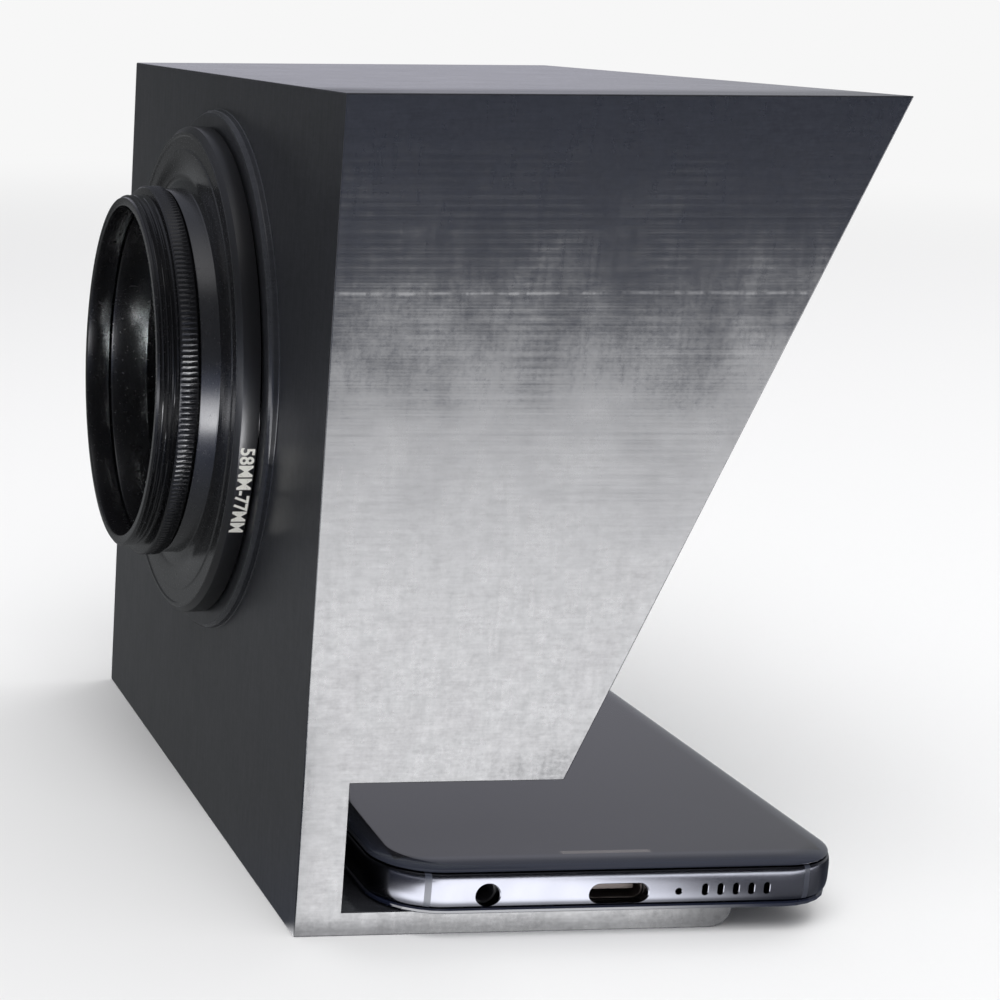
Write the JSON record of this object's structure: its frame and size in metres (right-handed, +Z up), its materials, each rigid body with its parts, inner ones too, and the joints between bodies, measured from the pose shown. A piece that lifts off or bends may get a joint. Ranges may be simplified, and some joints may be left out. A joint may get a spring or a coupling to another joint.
{
  "type": "smartphone teleprompter",
  "caption": "Printed hood on a lens adapter ring stack, with a sloped beam-splitter glass over a tray that holds a phone as the display.",
  "frame": {"origin": "centre of the tray's flat underside", "axes": "+X out of the hood's open front towards the presenter, parallel to the lens axis; +Y across the hood, towards the phone's top end; +Z up"},
  "size_m": [0.0986, 0.1486, 0.1214],
  "materials": {
    "printed_hood": "dark charcoal silk print with fine level layer lines",
    "beam_splitter": "clear glass with a part-mirror coating on its lower face",
    "black_anodised": "glossy black anodised, turned",
    "phone_metal": "polished blue-black anodised",
    "phone_glass": "black-backed cover glass, polished, round edge",
    "display": "dark display panel",
    "battery_pouch": "foil pouch with a plain wrap",
    "circuit_board": "solder mask with tinned shields",
    "plated_steel": "plated",
    "black_plastic": "moulded, fine texture",
    "ribbon": "polyimide film",
    "lens_black": "black lens cover",
    "flash_diffuser": "cream diffuser",
    "card_plastic": "card plastic with gold contacts"
  },
  "bodies": {
    "hood": {"hood_body": "printed_hood"},
    "glass": {"beam_splitter_glass": "beam_splitter"},
    "step_ring": {"step_up_ring": "black_anodised"},
    "adapter_ring": {"lens_adapter_ring": "black_anodised"},
    "clamp_ring": {"lock_ring": "black_anodised"},
    "phone": {"phone_frame": "phone_metal", "phone_back_glass": "phone_glass", "phone_front_glass": "phone_glass", "phone_display_panel": "display", "phone_battery": "battery_pouch", "phone_ribbon_cable": "ribbon", "phone_main_board": "circuit_board", "phone_sub_board": "circuit_board", "phone_board_screw_1": "plated_steel", "phone_board_screw_2": "plated_steel", "phone_board_screw_3": "plated_steel", "phone_board_screw_4": "plated_steel", "phone_board_screw_5": "plated_steel", "phone_usb_port": "plated_steel", "phone_headphone_jack": "black_plastic", "phone_loudspeaker": "black_plastic", "phone_vibration_motor": "plated_steel", "phone_earpiece": "black_plastic", "phone_front_camera": "lens_black", "phone_rear_camera_module": "lens_black", "phone_rear_camera_cover": "lens_black", "phone_flash_window": "flash_diffuser", "phone_fingerprint_sensor": "black_plastic"},
    "power_key": {"phone_power_button": "phone_metal"},
    "volume_key": {"phone_volume_rocker": "phone_metal"},
    "sim_drawer": {"phone_sim_tray": "phone_metal", "phone_sim_card": "card_plastic"}
  },
  "joints": [
    {"name": "glass_slide", "type": "slide", "parent": "hood", "child": "glass", "axis": [0.7071, 0, 0.7071], "range_m": [0, 0.092]},
    {"name": "ring_level", "type": "hinge", "parent": "hood", "child": "step_ring", "pos_m": [-0.037, 0, 0.0732], "axis": [1, 0, 0], "continuous": true},
    {"name": "adapter_screw", "type": "hinge", "parent": "step_ring", "child": "adapter_ring", "pos_m": [-0.0437, 0, 0.0732], "axis": [1, 0, 0], "continuous": true},
    {"name": "clamp_screw", "type": "hinge", "parent": "hood", "child": "clamp_ring", "pos_m": [-0.0246, 0, 0.0732], "axis": [1, 0, 0], "continuous": true},
    {"name": "phone_slide", "type": "slide", "parent": "hood", "child": "phone", "axis": [1, 0, 0], "range_m": [0, 0.055]},
    {"name": "power_press", "type": "slide", "parent": "phone", "child": "power_key", "axis": [-1, 0, 0], "range_m": [0, 0.0003]},
    {"name": "volume_rock", "type": "hinge", "parent": "phone", "child": "volume_key", "pos_m": [0.0474, 0.0428, 0.00775], "axis": [0, 0, 1], "range_deg": [-1.5, 1.5]},
    {"name": "sim_slide", "type": "slide", "parent": "phone", "child": "sim_drawer", "axis": [0, 1, 0], "range_m": [0, 0.024]}
  ]
}
